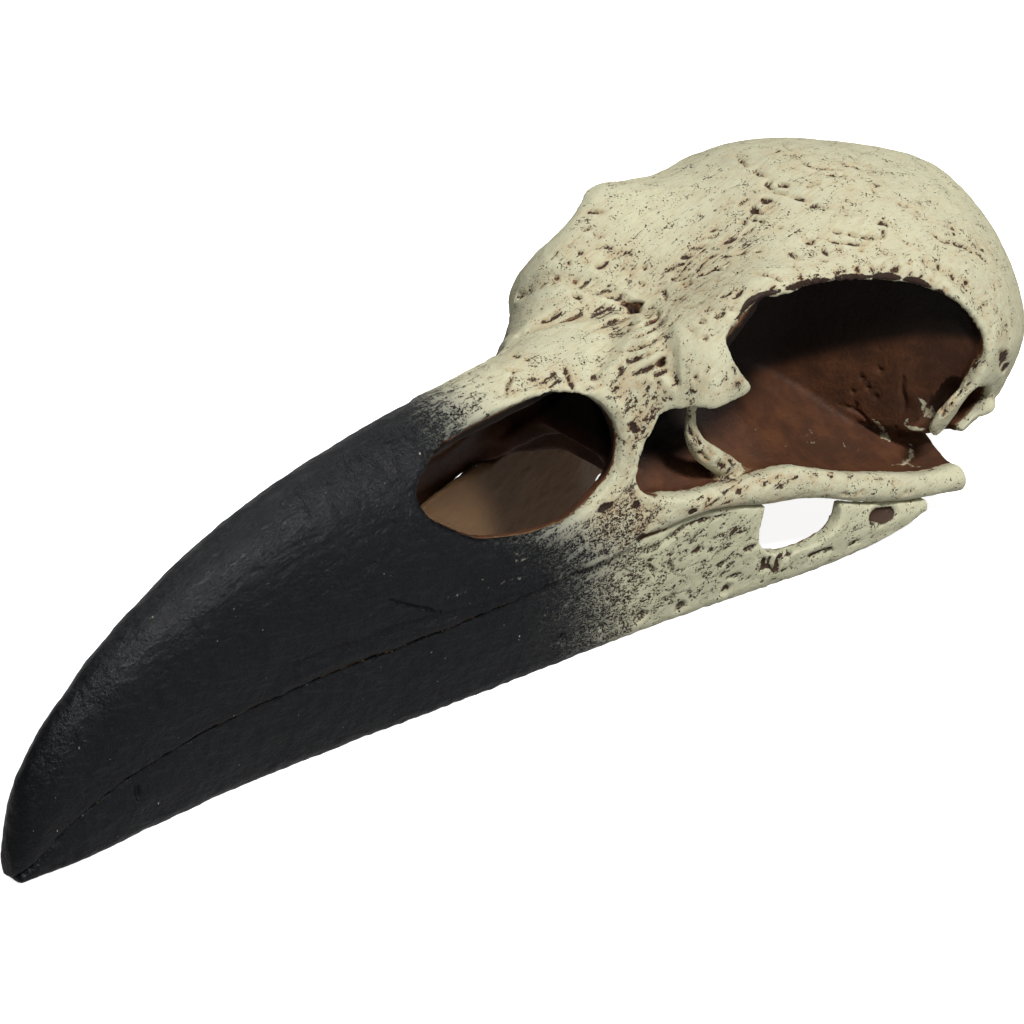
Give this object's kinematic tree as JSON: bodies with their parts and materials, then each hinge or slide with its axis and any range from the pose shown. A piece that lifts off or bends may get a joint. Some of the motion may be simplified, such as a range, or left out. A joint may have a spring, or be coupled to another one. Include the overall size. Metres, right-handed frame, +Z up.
{
  "type": "raven skull",
  "caption": "Cast of a raven's skull with the bill shut: round braincase, deep open eye sockets, oval nostrils, long curved black bill and a forked lower jaw.",
  "frame": {"origin": "middle of the skull's length and width, at the height of the flat lower edge it rests on", "axes": "+X from the bill tip towards the back of the head, -Y the bird's left side, +Z up"},
  "size_m": [0.116, 0.0362, 0.0324],
  "materials": {
    "skull_paint": "matt pale bone paint over brown, brown in pits and hollows, fading to satin black over the bill",
    "jaw_paint": "satin black paint at the front, fading through dry-brushed grey to matt bone at the back"
  },
  "bodies": {
    "root": {"skull": "skull_paint", "lower_jaw": "jaw_paint"}
  },
  "joints": []
}
